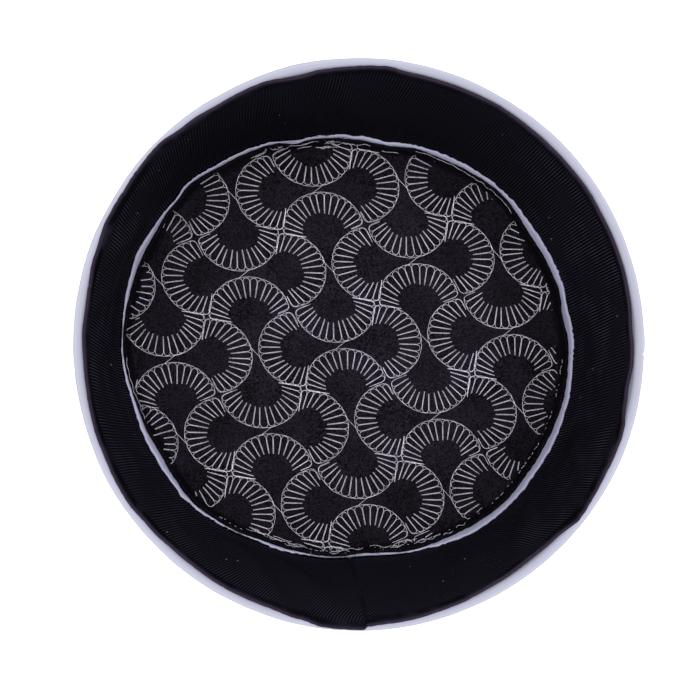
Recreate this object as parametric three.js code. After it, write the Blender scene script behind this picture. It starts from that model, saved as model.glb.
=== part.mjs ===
// Kufi cap, lying crown down with its opening up. Millimetres, +Z up.
// The origin is under the middle of the crown, on the surface that the cap rests on.
// Angles are in degrees, counted from +X towards +Y, seen from above the opening.

import * as THREE from "three";

// Main sizes
const rimRadius = 96;
const rimHeight = 85;
const crownLong = 85.6;
const crownShort = 79.7;
const crownTurn = -9.5;

// Cloth
const bandThickness = 3.4;
const liningThickness = 1.0;
const crownThickness = 1.2;
const hemThickness = 0.95;
const clearance = 0.3;

// Seam allowances inside the foot of the cap. They lean outwards as they rise.
const bandHemHeight = 8.0;
const crownHemHeight = 6.6;
const hemLean = 18;
const footLift = 0.4;
const troughFloor = 2.6;
const crownEdgeRound = 0.3;
const crownEdgeLift = 0.2;

// Softness of the cloth
const seamStray = 2.4;
const wallBow = 0.4;
const wallDent = 1.6;
const foldDepth = 1.6;

// Facets
const columns = 92;
const seamColumn = 271.4;
const wallRows = 4;
const cornerRows = 6;
const rimRows = 5;
const liningRows = 7;
const edgeRows = 2;
const lapRows = 4;

// How far the lining laps over the rim: 1 is the whole half turn of the rounded rim,
// below 0 the edge stays down inside the cap by that share of the same length.
// The drop after 270 degrees is the lining's own lapped seam.
const liningLap = [
  { angle: 0, lap: 0.0 },
  { angle: 3, lap: -0.16 },
  { angle: 9, lap: 0.0 },
  { angle: 16, lap: 0.13 },
  { angle: 28, lap: 0.09 },
  { angle: 34, lap: 0.19 },
  { angle: 42, lap: 0.12 },
  { angle: 51, lap: 0.11 },
  { angle: 60, lap: 0.18 },
  { angle: 74, lap: 0.1 },
  { angle: 79, lap: 0.13 },
  { angle: 85, lap: 0.33 },
  { angle: 94, lap: 0.24 },
  { angle: 99, lap: 0.21 },
  { angle: 103, lap: 0.0 },
  { angle: 111, lap: 0.32 },
  { angle: 121, lap: 0.26 },
  { angle: 129, lap: 0.37 },
  { angle: 137, lap: 0.51 },
  { angle: 147, lap: 0.44 },
  { angle: 154, lap: 0.45 },
  { angle: 162, lap: 0.36 },
  { angle: 172, lap: 0.19 },
  { angle: 177, lap: 0.24 },
  { angle: 184, lap: 0.18 },
  { angle: 202, lap: 0.32 },
  { angle: 213, lap: 0.4 },
  { angle: 219, lap: 0.31 },
  { angle: 230, lap: 0.24 },
  { angle: 246, lap: 0.29 },
  { angle: 250, lap: 0.27 },
  { angle: 257, lap: 0.43 },
  { angle: 263, lap: 0.57 },
  { angle: 270, lap: 0.58 },
  { angle: 271.2, lap: 0.45 },
  { angle: 276, lap: 0.38 },
  { angle: 290, lap: 0.27 },
  { angle: 300, lap: 0.09 },
  { angle: 308, lap: -0.05 },
  { angle: 314, lap: 0.13 },
  { angle: 321, lap: 0.42 },
  { angle: 334, lap: 0.3 },
  { angle: 339, lap: 0.34 },
  { angle: 343, lap: 0.27 },
  { angle: 347, lap: -0.1 },
  { angle: 351, lap: -0.28 },
  { angle: 356, lap: 0.0 },
];

// Where the crown's seam strays from the oval, outwards by a share of seamStray.
const seamOutline = [
  { angle: 0, out: 0.05 },
  { angle: 15, out: -0.1 },
  { angle: 31, out: 0.0 },
  { angle: 45, out: 0.65 },
  { angle: 56, out: 0.5 },
  { angle: 68, out: 0.1 },
  { angle: 80, out: -0.6 },
  { angle: 92, out: -0.3 },
  { angle: 103, out: -0.15 },
  { angle: 112, out: 0.5 },
  { angle: 124, out: 0.7 },
  { angle: 133, out: 0.95 },
  { angle: 142, out: 0.45 },
  { angle: 152, out: 0.0 },
  { angle: 168, out: -0.25 },
  { angle: 184, out: -0.2 },
  { angle: 197, out: -0.65 },
  { angle: 208, out: -0.5 },
  { angle: 217, out: 0.05 },
  { angle: 227, out: 0.75 },
  { angle: 236, out: 0.7 },
  { angle: 247, out: 0.25 },
  { angle: 262, out: 0.35 },
  { angle: 275, out: -0.15 },
  { angle: 285, out: 0.3 },
  { angle: 310, out: 0.7 },
  { angle: 325, out: 0.35 },
  { angle: 345, out: 0.3 },
];

// Height of the band's raw edge inside the cap, as a share of bandHemHeight.
const bandHemEdge = [
  { angle: 0, height: 0.98 },
  { angle: 10, height: 1.16 },
  { angle: 22, height: 1.02 },
  { angle: 45, height: 0.94 },
  { angle: 75, height: 0.88 },
  { angle: 90, height: 0.94 },
  { angle: 103, height: 0.58 },
  { angle: 115, height: 0.56 },
  { angle: 140, height: 0.64 },
  { angle: 157, height: 1.0 },
  { angle: 175, height: 0.64 },
  { angle: 190, height: 0.76 },
  { angle: 207, height: 1.03 },
  { angle: 225, height: 0.82 },
  { angle: 236, height: 0.67 },
  { angle: 246, height: 0.84 },
  { angle: 264, height: 0.52 },
  { angle: 280, height: 0.66 },
  { angle: 297, height: 0.98 },
  { angle: 310, height: 1.12 },
  { angle: 325, height: 1.04 },
  { angle: 342, height: 0.9 },
];

// Shallow dents of the wall about half way up, inwards by a share of wallDent.
const wallDents = [
  { angle: 20, dent: 0.1 },
  { angle: 60, dent: 0.7 },
  { angle: 95, dent: 1.0 },
  { angle: 130, dent: 0.1 },
  { angle: 165, dent: 0.6 },
  { angle: 205, dent: 0.0 },
  { angle: 250, dent: 0.9 },
  { angle: 285, dent: 0.3 },
  { angle: 315, dent: 0.8 },
  { angle: 345, dent: 0.2 },
];

// Soft folds of the lining, which stand inwards by a share of foldDepth.
// Each runs from the angle foot to the angle top, over the heights low to high,
// which are shares of rimHeight. halfWidth is in degrees.
const liningFolds = [
  { foot: 40, top: 47, halfWidth: 9, low: 0.35, high: 1.0, depth: 0.5 },
  { foot: 84, top: 96, halfWidth: 7, low: 0.2, high: 0.95, depth: 0.9 },
  { foot: 102, top: 113, halfWidth: 6, low: 0.3, high: 1.0, depth: 0.8 },
  { foot: 146, top: 160, halfWidth: 7, low: 0.2, high: 0.95, depth: 1.0 },
  { foot: 163, top: 174, halfWidth: 6, low: 0.35, high: 1.0, depth: 0.7 },
  { foot: 205, top: 212, halfWidth: 8, low: 0.3, high: 1.0, depth: 0.6 },
  { foot: 238, top: 251, halfWidth: 6, low: 0.15, high: 0.95, depth: 1.0 },
  { foot: 252, top: 265, halfWidth: 6, low: 0.2, high: 1.0, depth: 1.0 },
  { foot: 298, top: 292, halfWidth: 7, low: 0.3, high: 1.0, depth: 0.5 },
  { foot: 320, top: 307, halfWidth: 6, low: 0.2, high: 0.95, depth: 0.9 },
  { foot: 338, top: 328, halfWidth: 6, low: 0.25, high: 1.0, depth: 0.9 },
];

// Sizes that follow from the ones above
const hemSlope = Math.tan(THREE.MathUtils.degToRad(hemLean));
const levelGap = clearance * Math.hypot(1, hemSlope);
const levelHem = hemThickness * Math.hypot(1, hemSlope);
const levelLining = liningThickness * Math.hypot(1, hemSlope);
const footHeight = bandHemHeight + clearance;
const hemReach = levelGap + levelHem + hemSlope * footHeight;
const levelCrown = crownThickness * Math.hypot(1, hemSlope);
const troughWidth = levelLining + 2 * levelGap;
const troughRound = troughWidth / 3;
const troughTop = troughFloor + troughRound;
const crownBend = crownThickness * 2;
const footReach = hemReach + troughWidth + bandThickness;
const rimHalf = bandThickness / 2;
const rimCentreHeight = rimHeight - rimHalf;
const rimCentreRadius = rimRadius - rimHalf;
const lapTurn = Math.PI * (rimHalf + clearance + liningThickness / 2);
const edgeStart = 9;
const lapStart = 0.3;

// Value of a table's column at an angle, eased from row to row round the circle.
function around(table, column, angle) {
  const turned = THREE.MathUtils.euclideanModulo(angle - table[0].angle, 360) + table[0].angle;
  let before = table[table.length - 1];
  let after = table[0];
  for (const row of table) {
    if (row.angle <= turned) before = row;
  }
  const next = table.indexOf(before) + 1;
  if (next < table.length) after = table[next];
  const span = THREE.MathUtils.euclideanModulo(after.angle - before.angle, 360);
  const share = THREE.MathUtils.smoothstep(turned - before.angle, 0, span);
  return THREE.MathUtils.lerp(before[column], after[column], share);
}

// Radius of the crown's seam, an oval that the soft cloth pulls a little out of shape
function crownRadius(angle) {
  const turned = THREE.MathUtils.degToRad(angle - crownTurn);
  const oval = 1 / Math.hypot(Math.cos(turned) / crownLong, Math.sin(turned) / crownShort);
  return oval + seamStray * around(seamOutline, "out", angle);
}

// Radius of the band's inner face: up beside the seam allowance, then out to the rim
function wallInside(angle, height) {
  const seam = crownRadius(angle);
  if (height < footHeight) {
    return seam + hemReach + troughWidth - hemSlope * (footHeight - height);
  }
  const share = (height - footHeight) / (rimCentreHeight - footHeight);
  const straight = THREE.MathUtils.lerp(seam + hemReach + troughWidth, rimRadius - bandThickness, share);
  const swell = wallBow - wallDent * around(wallDents, "dent", angle);
  return straight + swell * Math.sin(Math.PI * THREE.MathUtils.clamp(share, 0, 1));
}

// How far the lining's folds stand in from the band at an angle and a height
function foldAt(angle, height) {
  let inwards = 0;
  for (const fold of liningFolds) {
    const share = (height / rimHeight - fold.low) / (fold.high - fold.low);
    if (share <= 0 || share >= 1) continue;
    const middle = THREE.MathUtils.lerp(fold.foot, fold.top, share);
    const away = THREE.MathUtils.euclideanModulo(angle - middle + 180, 360) - 180;
    const across = Math.max(0, 1 - Math.abs(away) / fold.halfWidth);
    inwards += fold.depth * across * across * (3 - 2 * across) * Math.sin(Math.PI * share);
  }
  return foldDepth * inwards;
}

// Sections are closed loops of [radius, height], anticlockwise with the radius to the right.

// The band: round foot, outer face, rounded rim, inner face, trough for the lining
// and the raw edge that is turned up inside.
function bandSection(angle) {
  const seam = crownRadius(angle);
  const hemEdge = bandHemHeight * around(bandHemEdge, "height", angle);
  const hemInside = (height) => seam + levelGap + hemSlope * height;
  const section = [];
  const footInner = hemInside(footLift);
  const footOuter = seam + footReach;
  for (let row = 0; row < cornerRows; row++) {
    const turn = (Math.PI / 2) * (row / cornerRows);
    section.push([
      footInner + (footOuter - footInner) * Math.sin(turn),
      footHeight - (footHeight - footLift) * Math.cos(turn),
    ]);
  }
  for (let row = 0; row < wallRows; row++) {
    const height = THREE.MathUtils.lerp(footHeight, rimCentreHeight, row / wallRows);
    section.push([wallInside(angle, height) + bandThickness, height]);
  }
  for (let row = 0; row <= rimRows; row++) {
    const turn = Math.PI * (row / rimRows);
    section.push([
      rimCentreRadius + rimHalf * Math.cos(turn),
      rimCentreHeight + rimHalf * Math.sin(turn),
    ]);
  }
  for (let row = wallRows - 1; row >= 0; row--) {
    const height = THREE.MathUtils.lerp(footHeight, rimCentreHeight, row / wallRows);
    section.push([wallInside(angle, height), height]);
  }
  section.push([wallInside(angle, troughTop), troughTop]);
  section.push([wallInside(angle, troughFloor) - troughRound, troughFloor]);
  section.push([hemInside(troughTop) + levelHem, troughTop]);
  section.push([hemInside(hemEdge) + levelHem, hemEdge]);
  section.push([hemInside(hemEdge), hemEdge]);
  return section;
}

// A point of the lining's path up the wall and round the rim, with the direction
// that points from the band to the lining. Length 0 is where the rim's round begins.
function liningPath(angle, length) {
  if (length <= 0) {
    const height = rimCentreHeight + length;
    const radius = wallInside(angle, height) - clearance - foldAt(angle, height);
    return { radius, height, out: [-1, 0] };
  }
  const turn = (Math.PI * length) / lapTurn;
  const out = [-Math.cos(turn), Math.sin(turn)];
  return {
    radius: rimCentreRadius + (rimHalf + clearance) * out[0],
    height: rimCentreHeight + (rimHalf + clearance) * out[1],
    out,
  };
}

// The lining: its face against the band upwards, then its open face downwards
function liningSection(angle) {
  const foot = troughTop + clearance;
  const edge = lapTurn * around(liningLap, "lap", angle);
  const lengths = [foot - rimCentreHeight];
  for (let row = 0; row < liningRows; row++) {
    const height = THREE.MathUtils.lerp(footHeight, rimCentreHeight - edgeStart, row / liningRows);
    lengths.push(height - rimCentreHeight);
  }
  const knee = Math.min(0, edge - lapStart);
  for (let row = 0; row < edgeRows; row++) {
    lengths.push(THREE.MathUtils.lerp(-edgeStart, knee, row / edgeRows));
  }
  for (let row = 0; row <= lapRows; row++) {
    lengths.push(THREE.MathUtils.lerp(knee, edge, row / lapRows));
  }
  const against = [];
  const open = [];
  for (const length of lengths) {
    const point = liningPath(angle, length);
    const thickness = point.height < footHeight ? levelLining : liningThickness;
    const gap = point.height < footHeight ? levelGap - clearance : 0;
    against.push([point.radius - gap, point.height]);
    open.push([
      point.radius - gap + thickness * point.out[0],
      point.height + thickness * point.out[1],
    ]);
  }
  return [...against, ...open.reverse()];
}

// The crown: a flat oval whose edge turns up beside the band's raw edge.
// The first and last points lie on the axis.
function crownSection(angle) {
  const seam = crownRadius(angle);
  const face = (height) => seam + hemSlope * height;
  return [
    [0, 0],
    [seam - crownThickness, 0],
    [seam - crownEdgeRound, crownEdgeLift],
    [face(crownThickness), crownThickness],
    [face(crownHemHeight), crownHemHeight],
    [face(crownHemHeight) - levelCrown, crownHemHeight],
    [face(crownBend) - levelCrown, crownBend],
    [seam - crownBend, crownThickness],
    [0, crownThickness],
  ];
}

// One closed surface through a section at each angle
function loft(angles, sectionAt) {
  const positions = [];
  const indices = [];
  const sections = angles.map(sectionAt);
  const count = sections[0].length;
  sections.forEach((section, column) => {
    const angle = THREE.MathUtils.degToRad(angles[column]);
    for (const [radius, height] of section) {
      positions.push(radius * Math.cos(angle), radius * Math.sin(angle), height);
    }
  });
  for (let column = 0; column < angles.length; column++) {
    const next = (column + 1) % angles.length;
    for (let row = 0; row < count; row++) {
      const above = (row + 1) % count;
      const onAxis = sections[column][row][0] === 0;
      const aboveOnAxis = sections[column][above][0] === 0;
      const corners = [column * count + row, next * count + row, next * count + above, column * count + above];
      if (!onAxis) indices.push(corners[0], corners[1], corners[2]);
      if (!aboveOnAxis) indices.push(corners[0], corners[2], corners[3]);
    }
  }
  const geometry = new THREE.BufferGeometry();
  geometry.setAttribute("position", new THREE.Float32BufferAttribute(positions, 3));
  geometry.setIndex(indices);
  geometry.computeVertexNormals();
  return geometry;
}

function cloth(name, geometry, color, roughness) {
  const material = new THREE.MeshStandardMaterial({ color, roughness, metalness: 0 });
  const mesh = new THREE.Mesh(geometry, material);
  mesh.name = name;
  return mesh;
}

const roundAngles = Array.from({ length: columns }, (_, column) => (360 * column) / columns);
const liningAngles = [...roundAngles, seamColumn].sort((one, other) => one - other);

const cap = new THREE.Group();
cap.add(cloth("band", loft(roundAngles, bandSection), 0xcbcde2, 0.85));
cap.add(cloth("lining", loft(liningAngles, liningSection), 0x121119, 0.8));
cap.add(cloth("crown", loft(roundAngles, crownSection), 0x191720, 0.9));

export default cap;
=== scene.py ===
# Kufi cap, lying crown down with its opening up.
# Metres, +Z up. Angles are in degrees unless a line says otherwise, and run from +X
# towards +Y, seen from above the opening.
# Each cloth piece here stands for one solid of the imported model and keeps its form.
# The threads, stitches and fibres lie on those cloth pieces.

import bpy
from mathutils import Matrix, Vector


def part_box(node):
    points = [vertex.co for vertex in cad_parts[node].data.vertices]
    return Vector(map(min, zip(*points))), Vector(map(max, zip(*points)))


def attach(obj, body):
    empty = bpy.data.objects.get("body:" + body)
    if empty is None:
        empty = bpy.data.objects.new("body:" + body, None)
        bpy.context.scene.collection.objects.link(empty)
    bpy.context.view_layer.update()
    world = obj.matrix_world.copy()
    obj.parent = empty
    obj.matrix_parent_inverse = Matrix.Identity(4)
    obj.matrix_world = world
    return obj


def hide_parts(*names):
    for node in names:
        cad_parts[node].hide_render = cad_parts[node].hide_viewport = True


bl_info = {
    "name": "Kufi Cap",
    "version": (1, 0, 0),
    "blender": (4, 5, 0),
    "location": "3D View > Sidebar > Kufi Cap",
    "description": "Makes a kufi cap with a lined cloth band and an embroidered crown",
    "category": "Add Mesh",
}

import math
import random

import bmesh
import bpy
from bpy.props import FloatProperty, FloatVectorProperty, IntProperty, PointerProperty
from mathutils import Matrix, Vector, noise

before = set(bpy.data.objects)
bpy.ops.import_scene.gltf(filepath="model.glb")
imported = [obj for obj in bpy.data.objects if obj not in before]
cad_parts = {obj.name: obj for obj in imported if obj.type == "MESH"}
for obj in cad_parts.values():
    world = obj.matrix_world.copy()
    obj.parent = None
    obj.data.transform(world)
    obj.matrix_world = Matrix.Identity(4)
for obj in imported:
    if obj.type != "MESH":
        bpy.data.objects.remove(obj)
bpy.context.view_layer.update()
BAND_LOW, BAND_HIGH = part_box("band")
_, CROWN_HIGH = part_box("crown")

MM = 0.001
FULL_TURN = 360.0

# Angle, share of the rim's half turn that the lining laps over. Below 0 it stays inside.
LINING_LAP = (
    (0, 0.0), (3, -0.16), (9, 0.0), (16, 0.13), (28, 0.09), (34, 0.19), (42, 0.12),
    (51, 0.11), (60, 0.18), (74, 0.1), (79, 0.13), (85, 0.33), (94, 0.24), (99, 0.21),
    (103, 0.0), (111, 0.32), (121, 0.26), (129, 0.37), (137, 0.51), (147, 0.44),
    (154, 0.45), (162, 0.36), (172, 0.19), (177, 0.24), (184, 0.18), (202, 0.32),
    (213, 0.4), (219, 0.31), (230, 0.24), (246, 0.29), (250, 0.27), (257, 0.43),
    (263, 0.57), (270, 0.58), (271.2, 0.45), (276, 0.38), (290, 0.27), (300, 0.09),
    (308, -0.05), (314, 0.13), (321, 0.42), (334, 0.3), (339, 0.34), (343, 0.27),
    (347, -0.1), (351, -0.28), (356, 0.0),
)

# Angle, how far the crown's seam strays out of its oval as a share of the seam stray
SEAM_OUTLINE = (
    (0, 0.05), (15, -0.1), (31, 0.0), (45, 0.65), (56, 0.5), (68, 0.1), (80, -0.6),
    (92, -0.3), (103, -0.15), (112, 0.5), (124, 0.7), (133, 0.95), (142, 0.45), (152, 0.0),
    (168, -0.25), (184, -0.2), (197, -0.65), (208, -0.5), (217, 0.05), (227, 0.75),
    (236, 0.7), (247, 0.25), (262, 0.35), (275, -0.15), (285, 0.3), (310, 0.7), (325, 0.35),
    (345, 0.3),
)

# Angle, half width in degrees, depth as a share of the seam stray: nicks of the raw edges
HEM_NICKS = (
    (9, 3.5, 0.45),
    (88.5, 1.6, 0.25),
    (104.5, 2.2, 0.5),
    (139, 3, 0.25),
    (181, 2.5, -0.15),
    (221, 3, -0.2),
    (274, 3, 0.45),
    (325, 2.5, 0.2),
    (357, 3, 0.1),
)

# Angle, where the embroidery ends past the crown's seam as a share of the embroidery edge
EMBROIDERY_END = (
    (12, -0.35), (22, -0.5), (35, 0.0), (46, -0.2), (68, 0.1), (90, 0.2), (100, 0.5),
    (120, 0.7), (143, 0.6), (190, 0.6), (214, 0.4), (228, -0.1), (244, 0.2), (258, 0.1),
    (275, -0.1), (295, -0.1), (308, -0.45), (340, -0.75), (356, -0.7),
)

# Angle, height of the band's raw edge inside the cap as a share of the hem's height
BAND_HEM_EDGE = (
    (0, 0.89), (9, 0.98), (16, 1.0), (30, 0.93), (45, 0.84), (60, 0.82), (70, 0.8),
    (80, 0.74), (86, 0.84), (92, 0.9), (98, 0.76), (101, 0.74), (103.5, 0.54), (106.5, 0.5),
    (109, 0.7), (116, 0.72), (126, 0.66), (136, 0.8), (142, 0.72), (150, 0.88), (157, 0.97),
    (163, 0.82), (175, 0.62), (185, 0.64), (190, 0.66), (207, 1.0), (221, 0.92),
    (228, 0.78), (236, 0.66), (242, 0.64), (250, 0.76), (262, 0.6), (267, 0.52),
    (271, 0.68), (276, 0.34), (281, 0.56), (290, 0.76), (297, 0.9), (304, 1.06), (310, 1.0),
    (320, 1.03), (332, 0.92), (345, 0.84), (354, 0.8),
)

# Angle, thickness of the band's raw edge as a share of the hem's thickness
BAND_HEM_THIN = (
    (20, 1.0), (44, 0.8), (58, 0.9), (72, 0.85), (84, 0.95), (93, 0.6), (106, 0.5),
    (125, 0.6), (147, 0.55), (152, 1.0), (168, 0.85), (177, 0.6), (188, 0.75), (204, 1.0),
    (222, 0.9), (240, 0.55), (252, 0.8), (264, 0.6), (270, 0.35), (276, 0.2), (280, 0.8),
    (292, 0.7), (300, 1.0),
)

# Angle, height of the crown's raw edge as a share of the crown hem's height
CROWN_HEM_EDGE = (
    (0, 0.88), (7, 0.72), (14, 0.98), (22, 0.88), (30, 0.76), (38, 0.9), (46, 0.96),
    (60, 0.8), (70, 0.93), (80, 0.82), (90, 1.0), (97, 0.95), (104, 0.85), (112, 0.84),
    (125, 0.72), (137, 0.98), (150, 0.8), (163, 0.84), (176, 0.96), (190, 0.84),
    (200, 0.93), (213, 0.84), (222, 0.98), (240, 0.94), (262, 0.9), (274, 0.98),
    (280, 0.78), (288, 1.0), (300, 0.84), (318, 0.96), (335, 0.74), (348, 0.82),
)

# Angle, depth of the wall's shallow dents as a share of the wall dent
WALL_DENTS = (
    (20, 0.1), (60, 0.7), (95, 1.0), (130, 0.1), (165, 0.6), (205, 0.0), (250, 0.9),
    (285, 0.3), (315, 0.8), (345, 0.2),
)

# Angle at the foot, angle at the top, half width in degrees, lowest and highest height
# as shares of the rim's height, depth as a share of the fold depth
LINING_FOLDS = (
    (40, 47, 9, 0.35, 1.0, 0.5),
    (84, 96, 7, 0.2, 0.95, 0.9),
    (102, 113, 6, 0.3, 1.0, 0.8),
    (146, 160, 7, 0.2, 0.95, 1.0),
    (163, 174, 6, 0.35, 1.0, 0.7),
    (205, 212, 8, 0.3, 1.0, 0.6),
    (238, 251, 6, 0.15, 0.95, 1.0),
    (252, 265, 6, 0.2, 1.0, 1.0),
    (298, 292, 7, 0.3, 1.0, 0.5),
    (320, 307, 6, 0.2, 0.95, 0.9),
    (338, 328, 6, 0.25, 1.0, 0.9),
)

# Angle, lean of the twill's ribs from upright in degrees. Above 0 they climb towards +angle.
TWILL_LEAN = (
    (0, 6), (20, 3.5), (40, 2.5), (60, 0), (80, -4), (100, -4), (120, -3), (140, -2),
    (160, -2.5), (180, -5), (200, -5.5), (220, -9), (240, -14), (260, -20), (270, -20),
    (271.5, 15), (280, 15), (320, 12), (340, 7),
)

# Angles of the seams up the band and the lining
BAND_SEAM = 358.0
LINING_SEAM = 270.7

# Extra columns of faces beside a seam, and how many degrees they reach either side
SEAM_COLUMNS = 24
SEAM_HALF_WIDTH = 1.5

# Rows of faces in each part of the band's section, the lining's and the crown's
FOOT_ROWS = 12
WALL_ROWS = 22
RIM_ROWS = 16
INNER_ROWS = 10
HEM_ROWS = 6
LOW_ROWS = 30
HIGH_ROWS = 6
LAP_ROWS = 10
UNDER_ROWS = 20
EDGE_ROWS = 5
TOP_ROWS = 24

# How far cloth and thread stray: depth and size of the lumps in millimetres, and the
# number of a pattern
BAND_LUMPS = ((0.3, 23, 0), (0.08, 5, 0))
BAND_PUCKERS = ((0.3, 4.5, 0),)
RIM_WAVES = ((0.25, 17, 1),)
HEM_WOBBLE = ((0.24, 2.2, 3),)
BAND_FRAY = ((0.7, 1.1, 0), (0.5, 4, 2))
LINING_FRAY = ((0.18, 1.3, 0), (0.25, 6, 5))
CROWN_FRAY = ((0.45, 1.2, 7), (0.35, 4, 9))
EMBROIDERY_WANDER = ((0.3, 5, 4),)
STITCH_WANDER = ((0.45, 3, 6),)

# Radii of the walls on which the noise of the lining, of the crown's edge and of the
# threads is read
LINING_NOISE = 90 * MM
CROWN_NOISE = 85 * MM
THREAD_NOISE = 80 * MM

# Outer face of the band: height and reach of the puckers over its foot, the groove along
# its seam, and the ridge beside that
PUCKER_HEIGHT = 7 * MM
PUCKER_REACH = 9 * MM
GROOVE_DEPTH = 0.55 * MM
GROOVE_WIDTH = 0.45 * MM
RIDGE_RISE = 0.22 * MM
RIDGE_AWAY = 4 * MM
RIDGE_WIDTH = 3.5 * MM

# Crease where the band turns over its rim, with its place and width in degrees counted
# over the rim from its outside
CREASE_DEPTH = 0.3 * MM
CREASE_TURN = 75
CREASE_WIDTH = 16

# Lining: its crinkles and the length over which they start, and the lap beside its seam,
# with its width in degrees and the length over which that starts
CRINKLE_DEPTH = 0.3 * MM
CRINKLE_SIZE = 13 * MM
CRINKLE_EASE = 10 * MM
OVERLAP_DEPTH = 0.45 * MM
OVERLAP_WIDTH = 6
OVERLAP_EASE = 8 * MM

# Rows of faces up the lining: place along the wall where they get denser, counted from
# the rim, and how far before the edge they get denser again
DENSE_BELOW = -9 * MM
KNEE_AWAY = 0.3 * MM

# Crown: height of its lower face, depths and sizes of its waves and wrinkles, how much
# they lift it, puckers of its turned edge, and how far that edge is worn down
CROWN_UNDER = 0.3 * MM
CROWN_WAVE = 19 * MM
CROWN_WAVE_DEPTH = 0.32 * MM
CROWN_WRINKLE = 6 * MM
CROWN_WRINKLE_DEPTH = 0.1 * MM
CROWN_SLACK = 0.4 * MM
CROWN_PUCKER = 0.08 * MM
CROWN_PUCKER_SIZE = 3 * MM
CROWN_WORN = 0.2 * MM

# Rounded edges. Band: out from the middle and up, as shares of the thickness. Lining:
# shares of the thickness, and how far it reaches. Crown, at its seam and at its raw edge:
# share of the thickness inwards, rise in millimetres.
BAND_LIP = ((0.3, 0.22), (-0.3, 0.22))
LINING_LIP = (0.3, 0.7)
EDGE_ROUND = 0.28 * MM
CROWN_CORNER = ((1, 0.05), (1 / 3, 0.25))
CROWN_LIP = ((0.3, 0.25), (0.7, 0.2))

# Pitches of the weaves
BAND_WARP = 0.62 * MM
BAND_WEFT = 0.45 * MM
TWILL_RIB = 1.13 * MM
TWILL_STEP = 0.7 * MM

# The embroidery is a grid of half rings. Each stands on the middle of one side of a
# grid cell, and they bulge by turns into the cells on either side. Its spokes fan out
# from a point a little way behind its middle, between a small and a large oval.
GRID_START = Vector((45.13, 19.73)) * MM
GRID_ACROSS = Vector((33.31, 2.75)) * MM
GRID_DOWN = Vector((4.47, -30.69)) * MM
GRID_REACH = 6

# In grid units, with the spokes' first and last angles from the way that the ring bulges
RING_OUTER = Vector((0.472, 0.46))
RING_INNER = Vector((0.248, 0.203))
SPOKES_BEHIND = 0.15
SPOKES_FIRST = math.radians(-76)
SPOKES_LAST = math.radians(71)

# How far a petal's tip reaches from the small oval to the large one, and how far in from
# its spokes its feet stand, as a share of its width
PETAL_TIP = 0.985
PETAL_FOOT = 0.065

# Along a petal's side: share of the way out to its tip, share of its width
PETAL_SIDE = (
    (0.4, 0.055), (0.78, 0.03), (0.85, 0.055), (0.9, 0.1), (0.95, 0.175), (0.977, 0.26),
    (0.993, 0.37),
)

# The same for the rounded ends of a half ring's outline, then how far the outline goes
# past its first and last spoke, as a share of a petal's width, and its steps
OUTLINE_END = ((0, 0), (0.78, 0), (0.88, 0.05), (0.95, 0.17), (0.985, 0.36))
OUTLINE_PAST = 0.04
OUTLINE_STEPS = 40

# Ends and bends of the threads between half rings, in radians round their outline
JOIN_FAR = 0.34
JOIN_NEAR = 0.14

# Reach of the embroidery under the crown as a share of the seam's radius
UNDER_REACH = 0.93

# Lines of thread along the crown's seam: first angle, last angle, how far in from the
# seam at each of them as a share of the stitch depth, share of each stitch that shows
SEAM_LINES = (
    (39, 71, -0.3, -0.9, 1.0),
    (90, 104, -2.0, -2.3, 0.8),
    (183, 200, -0.95, -0.9, 1.0),
    (233, 241, -0.3, -0.4, 0.6),
    (241, 270, 0.2, -0.2, 0.75),
    (270, 290, 0.3, 0.1, 0.35),
    (290, 305, 0.0, 0.25, 0.35),
    (305, 325, 0.3, 0.4, 0.55),
    (325, 348, 0.6, 0.85, 0.6),
    (348, 357, 0.8, 0.2, 0.6),
)

# Stitches: degrees from one to the next, points along each, lift off the crown
STITCH_PITCH = 1.5
STITCH_POINTS = 5
STITCH_LIFT = 0.1 * MM
SEAM_THREAD_RADIUS = 0.08 * MM

# Loose curls of thread: how many, points in each, lift off the crown, bend from point to
# point in radians, and the angles that they gather at, with their spread
CURL_COUNT = 34
CURL_POINTS = 12
CURL_LIFT = 0.25 * MM
CURL_BEND = 0.6
CURL_PLACES = ((293, 7), (258, 8), (98, 5))

# Loose fibres: how many of each, the angle and spread of the long frays, the radii
LONG_FRAYS = 50
LONG_FRAYS_AT = (268, 5)
SHORT_FRAYS = 260
FUZZ_COUNT = 900
LINT_COUNT = 20
FRAY_RADIUS = 0.05 * MM
FUZZ_RADIUS = 0.06 * MM
LINT_RADIUS = 0.06 * MM

# Camera and light for the view down into the opening
CAMERA_PLACE = Vector((-35.2, -4.6, 552.6)) * MM
CAMERA_TARGET = Vector((-4.3, -2, 85)) * MM
CAMERA_LENS = 72.2
WHITE = (1, 1, 1, 1)
ROOM_LIGHT = 0.55
FLOOR_RADIUS = 15
FLOOR_GLOW = 0.25
LAMP_SIZE = 0.9

# Name, place and power of each lamp
LAMPS = (
    ("overhead", Vector((0.05, 0.08, 1.4)), 21),
    ("front_left", Vector((-1.1, -1.3, 1.0)), 7),
)


def mix(low, high, share):
    return low + (high - low) * share


def eased(share):
    """The share with a soft start and a soft end."""
    return share * share * (3 - 2 * share)


def around(table, angle):
    """Second column of a table at an angle, eased from row to row round the circle."""
    angle = (angle - table[0][0]) % FULL_TURN + table[0][0]
    before = max((row for row in table if row[0] <= angle), key=lambda row: row[0])
    after = table[(table.index(before) + 1) % len(table)]
    share = (angle - before[0]) / ((after[0] - before[0]) % FULL_TURN)
    return mix(before[1], after[1], eased(share))


def bell(distance, width):
    """1 in the middle, falling smoothly to nothing a few widths away."""
    return math.exp(-((distance / width) ** 2))


def turn_between(one, other):
    """Signed angle from other to one, the short way round."""
    return (one - other + FULL_TURN / 2) % FULL_TURN - FULL_TURN / 2


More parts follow.
